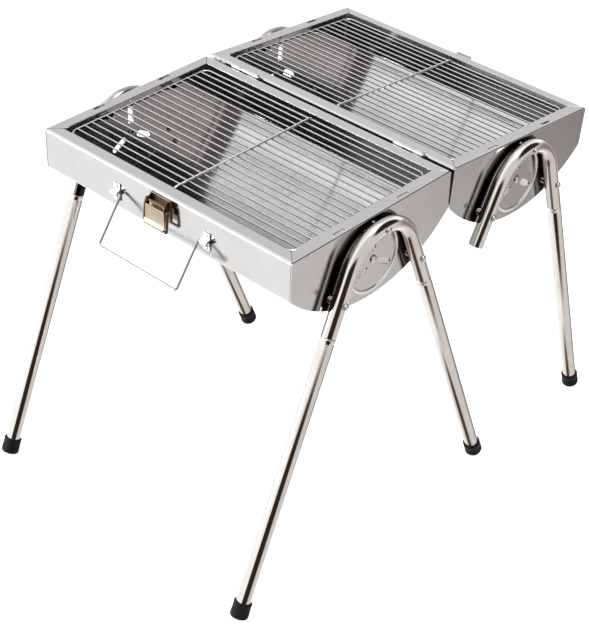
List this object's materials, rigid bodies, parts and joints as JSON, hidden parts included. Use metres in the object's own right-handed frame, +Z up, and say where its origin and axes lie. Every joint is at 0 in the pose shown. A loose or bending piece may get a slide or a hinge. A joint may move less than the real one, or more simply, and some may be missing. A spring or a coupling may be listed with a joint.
{
  "type": "folding camp grill",
  "caption": "Portable charcoal grill of two hinged sheet-steel troughs that open side by side on splayed pull-off tube legs, with wire grates, a carry handle and a draw latch.",
  "frame": {"origin": "centre of the opened grill's footprint, on the ground under the hinge line", "axes": "+X to the right end, +Y to the rear half, +Z up; the carry handle and the latch are on the -Y side"},
  "size_m": [0.391, 0.6118, 0.417],
  "materials": {
    "body_steel": "bright rolled stainless sheet",
    "end_steel": "bright pressed stainless sheet",
    "chrome_tube": "polished chrome plate",
    "grate_wire": "bright nickel-chrome wire",
    "handle_wire": "bright wire",
    "fastener_steel": "bright zinc",
    "latch_bronze": "dark bronze plate",
    "latch_brass": "dull nickel-brass plate",
    "foot_rubber": "moulded black rubber"
  },
  "bodies": {
    "front_half": {"front_firebox": "body_steel", "front_left_end_plate": "end_steel", "front_left_arch": "chrome_tube", "front_left_vent_rivet": "fastener_steel", "front_left_top_arch_bolt": "fastener_steel", "front_left_outer_arch_bolt": "fastener_steel", "front_left_inner_arch_bolt": "fastener_steel", "left_hinge_front_leaf": "fastener_steel", "front_right_end_plate": "end_steel", "front_right_arch": "chrome_tube", "front_right_vent_rivet": "fastener_steel", "front_right_top_arch_bolt": "fastener_steel", "front_right_outer_arch_bolt": "fastener_steel", "front_right_inner_arch_bolt": "fastener_steel", "right_hinge_front_leaf": "fastener_steel", "left_hinge_pin": "fastener_steel", "left_handle_bracket": "handle_wire", "right_hinge_pin": "fastener_steel", "right_handle_bracket": "handle_wire", "latch_base": "latch_brass", "latch_pin": "latch_bronze"},
    "rear_half": {"rear_firebox": "body_steel", "rear_left_end_plate": "end_steel", "rear_left_arch": "chrome_tube", "rear_left_vent_rivet": "fastener_steel", "rear_left_top_arch_bolt": "fastener_steel", "rear_left_outer_arch_bolt": "fastener_steel", "rear_left_inner_arch_bolt": "fastener_steel", "left_hinge_rear_leaf": "fastener_steel", "rear_right_end_plate": "end_steel", "rear_right_arch": "chrome_tube", "rear_right_vent_rivet": "fastener_steel", "rear_right_top_arch_bolt": "fastener_steel", "rear_right_outer_arch_bolt": "fastener_steel", "rear_right_inner_arch_bolt": "fastener_steel", "right_hinge_rear_leaf": "fastener_steel", "latch_keeper": "latch_brass"},
    "front_grate": {"front_grate": "grate_wire"},
    "front_left_vent_shutter": {"front_left_vent_shutter": "end_steel"},
    "front_left_outer_leg": {"front_left_outer_leg": "chrome_tube", "front_left_outer_foot": "foot_rubber"},
    "front_left_inner_leg": {"front_left_inner_leg": "chrome_tube", "front_left_inner_foot": "foot_rubber"},
    "front_right_vent_shutter": {"front_right_vent_shutter": "end_steel"},
    "front_right_outer_leg": {"front_right_outer_leg": "chrome_tube", "front_right_outer_foot": "foot_rubber"},
    "front_right_inner_leg": {"front_right_inner_leg": "chrome_tube", "front_right_inner_foot": "foot_rubber"},
    "rear_grate": {"rear_grate": "grate_wire"},
    "rear_left_vent_shutter": {"rear_left_vent_shutter": "end_steel"},
    "rear_left_outer_leg": {"rear_left_outer_leg": "chrome_tube", "rear_left_outer_foot": "foot_rubber"},
    "rear_right_vent_shutter": {"rear_right_vent_shutter": "end_steel"},
    "rear_right_outer_leg": {"rear_right_outer_leg": "chrome_tube", "rear_right_outer_foot": "foot_rubber"},
    "carry_handle": {"carry_handle": "handle_wire"},
    "latch_lever": {"latch_lever": "latch_brass"},
    "latch_loop": {"latch_loop": "latch_bronze"}
  },
  "joints": [
    {"name": "fold", "type": "hinge", "parent": "front_half", "child": "rear_half", "pos_m": [0, 0, 0.41447], "axis": [1, 0, 0], "range_deg": [0, 185]},
    {"name": "front_grate_lift", "type": "slide", "parent": "front_half", "child": "front_grate", "axis": [0, 0.0436, -0.999], "range_m": [-0.03, 0]},
    {"name": "front_left_vent_turn", "type": "hinge", "parent": "front_half", "child": "front_left_vent_shutter", "pos_m": [-0.1758, -0.11816, 0.35827], "axis": [-1, 0, 0], "range_deg": [0, 60]},
    {"name": "front_left_outer_leg_pull", "type": "slide", "parent": "front_half", "child": "front_left_outer_leg", "axis": [0, -0.342, -0.9397], "range_m": [0, 0.03]},
    {"name": "front_left_inner_leg_pull", "type": "slide", "parent": "front_half", "child": "front_left_inner_leg", "axis": [0, 0.4226, -0.9063], "range_m": [0, 0.03]},
    {"name": "front_right_vent_turn", "type": "hinge", "parent": "front_half", "child": "front_right_vent_shutter", "pos_m": [0.1758, -0.11816, 0.35827], "axis": [1, 0, 0], "range_deg": [0, 60]},
    {"name": "front_right_outer_leg_pull", "type": "slide", "parent": "front_half", "child": "front_right_outer_leg", "axis": [0, -0.342, -0.9397], "range_m": [0, 0.03]},
    {"name": "front_right_inner_leg_pull", "type": "slide", "parent": "front_half", "child": "front_right_inner_leg", "axis": [0, 0.4226, -0.9063], "range_m": [0, 0.03]},
    {"name": "rear_grate_lift", "type": "slide", "parent": "rear_half", "child": "rear_grate", "axis": [0, -0.0436, -0.999], "range_m": [-0.03, 0]},
    {"name": "rear_left_vent_turn", "type": "hinge", "parent": "rear_half", "child": "rear_left_vent_shutter", "pos_m": [-0.1758, 0.11816, 0.35827], "axis": [-1, 0, 0], "range_deg": [0, 60]},
    {"name": "rear_left_outer_leg_pull", "type": "slide", "parent": "rear_half", "child": "rear_left_outer_leg", "axis": [0, 0.342, -0.9397], "range_m": [0, 0.03]},
    {"name": "rear_right_vent_turn", "type": "hinge", "parent": "rear_half", "child": "rear_right_vent_shutter", "pos_m": [0.1758, 0.11816, 0.35827], "axis": [1, 0, 0], "range_deg": [0, 60]},
    {"name": "rear_right_outer_leg_pull", "type": "slide", "parent": "rear_half", "child": "rear_right_outer_leg", "axis": [0, 0.342, -0.9397], "range_m": [0, 0.03]},
    {"name": "handle_swing", "type": "hinge", "parent": "front_half", "child": "carry_handle", "pos_m": [0, -0.24037, 0.37645], "axis": [-1, 0, 0], "range_deg": [-35, 140]},
    {"name": "latch_lever_swing", "type": "hinge", "parent": "front_half", "child": "latch_lever", "pos_m": [0, -0.24381, 0.39332], "axis": [-1, 0, 0], "range_deg": [0, 150]},
    {"name": "latch_loop_swing", "type": "hinge", "parent": "latch_lever", "child": "latch_loop", "pos_m": [0, -0.24429, 0.38829], "axis": [1, 0, 0], "range_deg": [-185, 0]}
  ]
}
